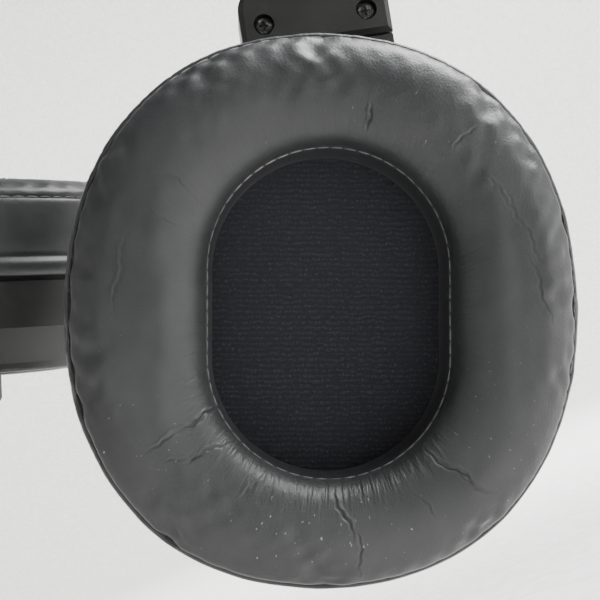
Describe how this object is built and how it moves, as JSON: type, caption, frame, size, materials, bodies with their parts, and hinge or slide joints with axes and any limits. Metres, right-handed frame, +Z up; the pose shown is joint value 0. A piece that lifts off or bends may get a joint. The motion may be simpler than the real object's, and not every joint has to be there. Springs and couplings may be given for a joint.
{
  "type": "over ear headphones",
  "caption": "Over ear headphones with oval leatherette ear pads on swivelling, folding yokes and a padded sprung headband with sliding arms.",
  "frame": {"origin": "underside of the headband cushion at the crown, where a head carries it", "axes": "+X the wearer's left, +Y the wearer's back, +Z up through the crown"},
  "size_m": [0.2251, 0.1041, 0.2072],
  "materials": {
    "spring_steel": "satin",
    "band_leather": "fine grain leatherette, soft sheen",
    "pad_leather": "leatherette with creases and worn specks, soft sheen",
    "shell_plastic": "fine moulded texture",
    "shell_plastic_light": "satin grey plastic",
    "outer_gloss": "gloss",
    "screw_steel": "blackened, worn edges",
    "pin_steel": "bright",
    "rubber": "matt",
    "cloth": "knit with fine ribs",
    "felt": "felt",
    "magnet": "plated",
    "film": "thin film",
    "driver_plastic": "matt",
    "contact_brass": "plated"
  },
  "bodies": {
    "headband": {"detent_springs": "spring_steel", "end_cap_inner_left": "shell_plastic", "end_cap_inner_right": "shell_plastic", "end_cap_outer_left": "shell_plastic", "end_cap_outer_right": "shell_plastic", "end_cap_screws": "screw_steel", "headband_cover": "band_leather", "headband_cushion": "band_leather", "headband_lead": "rubber", "headband_spring": "spring_steel"},
    "cup_left": {"baffle_left": "driver_plastic", "baffle_screws_left": "screw_steel", "cup_housing_left": "shell_plastic", "damping_felt_left": "felt", "driver_diaphragm_left": "film", "driver_frame_left": "driver_plastic", "driver_magnet_left": "magnet", "ear_pad_left": "pad_leather", "jack_socket_left": "contact_brass", "jumper_lead_left": "rubber", "lead_boot_cup_left": "rubber", "outer_cap_left": "outer_gloss", "outer_ring_left": "shell_plastic_light", "scrim_cloth_left": "cloth"},
    "cup_right": {"baffle_right": "driver_plastic", "baffle_screws_right": "screw_steel", "cup_housing_right": "shell_plastic", "damping_felt_right": "felt", "driver_diaphragm_right": "film", "driver_frame_right": "driver_plastic", "driver_magnet_right": "magnet", "ear_pad_right": "pad_leather", "jumper_lead_right": "rubber", "lead_boot_cup_right": "rubber", "outer_cap_right": "outer_gloss", "outer_ring_right": "shell_plastic_light", "scrim_cloth_right": "cloth"},
    "slider_left": {"bracket_rivets_left": "pin_steel", "hinge_bracket_left": "shell_plastic", "hinge_pin_left": "pin_steel", "slider_strip_left": "spring_steel"},
    "slider_right": {"bracket_rivets_right": "pin_steel", "hinge_bracket_right": "shell_plastic", "hinge_pin_right": "pin_steel", "slider_strip_right": "spring_steel"},
    "knuckle_left": {"hinge_knuckle_left": "shell_plastic", "swivel_pin_left": "pin_steel"},
    "knuckle_right": {"hinge_knuckle_right": "shell_plastic", "swivel_pin_right": "pin_steel"},
    "yoke_left": {"lead_boot_yoke_left": "rubber", "pivot_pins_left": "pin_steel", "yoke_cover_left": "shell_plastic", "yoke_fork_left": "shell_plastic_light", "yoke_screws_left": "screw_steel"},
    "yoke_right": {"lead_boot_yoke_right": "rubber", "pivot_pins_right": "pin_steel", "yoke_cover_right": "shell_plastic", "yoke_fork_right": "shell_plastic_light", "yoke_screws_right": "screw_steel"}
  },
  "joints": [
    {"name": "adjust_left", "type": "hinge", "parent": "headband", "child": "slider_left", "pos_m": [0, 0, -0.0934], "axis": [0, 1, 0], "range_deg": [-3.5, 12.5]},
    {"name": "fold_left", "type": "hinge", "parent": "slider_left", "child": "knuckle_left", "pos_m": [0.09588, 0, -0.07126], "axis": [0, 1, 0], "range_deg": [-10.5, 8]},
    {"name": "swivel_left", "type": "hinge", "parent": "knuckle_left", "child": "yoke_left", "pos_m": [0.09337, 0, -0.08095], "axis": [0.2504, 0, 0.9681], "range_deg": [-118, 62]},
    {"name": "tilt_left", "type": "hinge", "parent": "yoke_left", "child": "cup_left", "pos_m": [0.06974, -0.00408, -0.14166], "axis": [0.8548, 0.4695, -0.2211], "range_deg": [-4, 10], "deforming": ["jumper_lead_left"]},
    {"name": "adjust_right", "type": "hinge", "parent": "headband", "child": "slider_right", "pos_m": [0, 0, -0.0934], "axis": [0, -1, 0], "range_deg": [-3.5, 12.5]},
    {"name": "fold_right", "type": "hinge", "parent": "slider_right", "child": "knuckle_right", "pos_m": [-0.09588, 0, -0.07126], "axis": [0, 1, 0], "range_deg": [-13, 63]},
    {"name": "swivel_right", "type": "hinge", "parent": "knuckle_right", "child": "yoke_right", "pos_m": [-0.08667, 0, -0.07517], "axis": [0.9205, 0, -0.3907], "range_deg": [0, 180]},
    {"name": "tilt_right", "type": "hinge", "parent": "yoke_right", "child": "cup_right", "pos_m": [-0.02712, 0.0087, -0.10045], "axis": [0, 1, 0], "range_deg": [-4, 10], "deforming": ["jumper_lead_right"]}
  ]
}
